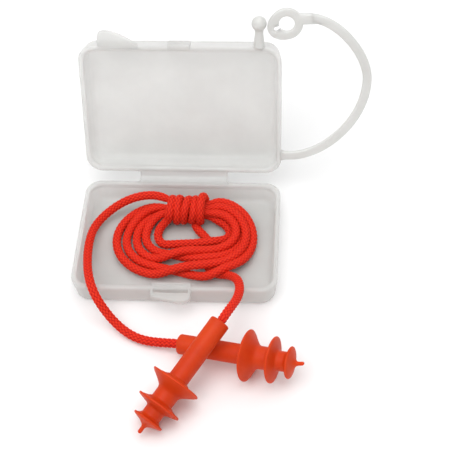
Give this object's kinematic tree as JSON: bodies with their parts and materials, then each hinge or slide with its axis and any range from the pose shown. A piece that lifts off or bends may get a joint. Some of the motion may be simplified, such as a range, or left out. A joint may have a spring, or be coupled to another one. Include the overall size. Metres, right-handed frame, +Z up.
{
  "type": "corded reusable ear plugs in a carry case",
  "caption": "Soft triple-flange ear plugs joined by a braided neck cord, with a translucent clamshell carry case and a carry strap that clips over a ball.",
  "frame": {"origin": "centre of the base's flat underside, which rests on the table", "axes": "+Z up, +Y from the front catch to the hinge, +X along the hinge to the strap's side"},
  "size_m": [0.0747, 0.0933, 0.0514],
  "materials": {
    "clear_shell": "natural translucent polypropylene, satin with a soft gloss",
    "clear_strap": "natural translucent polypropylene, satin",
    "braided_cord": "braided polyester, slight sheen",
    "soft_plug": "smooth matte elastomer"
  },
  "bodies": {
    "base": {"case_base": "clear_shell", "base_catch": "clear_shell", "hinge_leaf_base": "clear_shell"},
    "lid": {"case_lid": "clear_shell", "hinge_leaf_lid": "clear_shell", "latch_tongue": "clear_shell", "lid_thumb_tab": "clear_shell", "ball_post": "clear_shell", "strap_root": "clear_strap"},
    "strap": {"carry_strap": "clear_strap"},
    "eyelet": {"strap_eyelet": "clear_strap"},
    "cord": {"cord_coil": "braided_cord", "cord_wrap": "braided_cord", "cord_tail_left": "braided_cord", "cord_tail_right": "braided_cord"},
    "plug_a": {"plug_a_stem": "soft_plug", "plug_a_large_flange": "soft_plug", "plug_a_middle_flange": "soft_plug", "plug_a_small_flange": "soft_plug", "plug_a_nib": "soft_plug", "cord_end_a": "braided_cord"},
    "plug_b": {"plug_b_stem": "soft_plug", "plug_b_large_flange": "soft_plug", "plug_b_middle_flange": "soft_plug", "plug_b_small_flange": "soft_plug", "plug_b_nib": "soft_plug", "cord_end_b": "braided_cord"}
  },
  "joints": [
    {"name": "lid_hinge", "type": "hinge", "parent": "base", "child": "lid", "pos_m": [0, 0.0194, 0.0068], "axis": [-1, 0, 0], "range_deg": [-103, 71]},
    {"name": "strap_swing", "type": "hinge", "parent": "lid", "child": "strap", "pos_m": [0.0281, 0.02271, 0.01243], "axis": [0, 0.9455, -0.3256], "range_deg": [0, 35], "stiffness_Nm_per_rad": 0.004},
    {"name": "eyelet_tip", "type": "hinge", "parent": "strap", "child": "eyelet", "pos_m": [0.0329, 0.03525, 0.04883], "axis": [0, 0.3256, 0.9455], "range_deg": [0, 45], "stiffness_Nm_per_rad": 0.002},
    {"name": "cord_lift", "type": "slide", "parent": "base", "child": "cord", "axis": [0, 0, 1], "range_m": [0, 0.03]},
    {"name": "plug_a_lift", "type": "hinge", "parent": "cord", "child": "plug_a", "pos_m": [0.0131, -0.032, 0.0136], "axis": [-0.8007, 0.599, 0], "range_deg": [0, 25]},
    {"name": "plug_b_swing", "type": "hinge", "parent": "cord", "child": "plug_b", "pos_m": [0.0026, -0.0317, 0.0033], "axis": [0, 0, 1], "range_deg": [0, 15]}
  ]
}
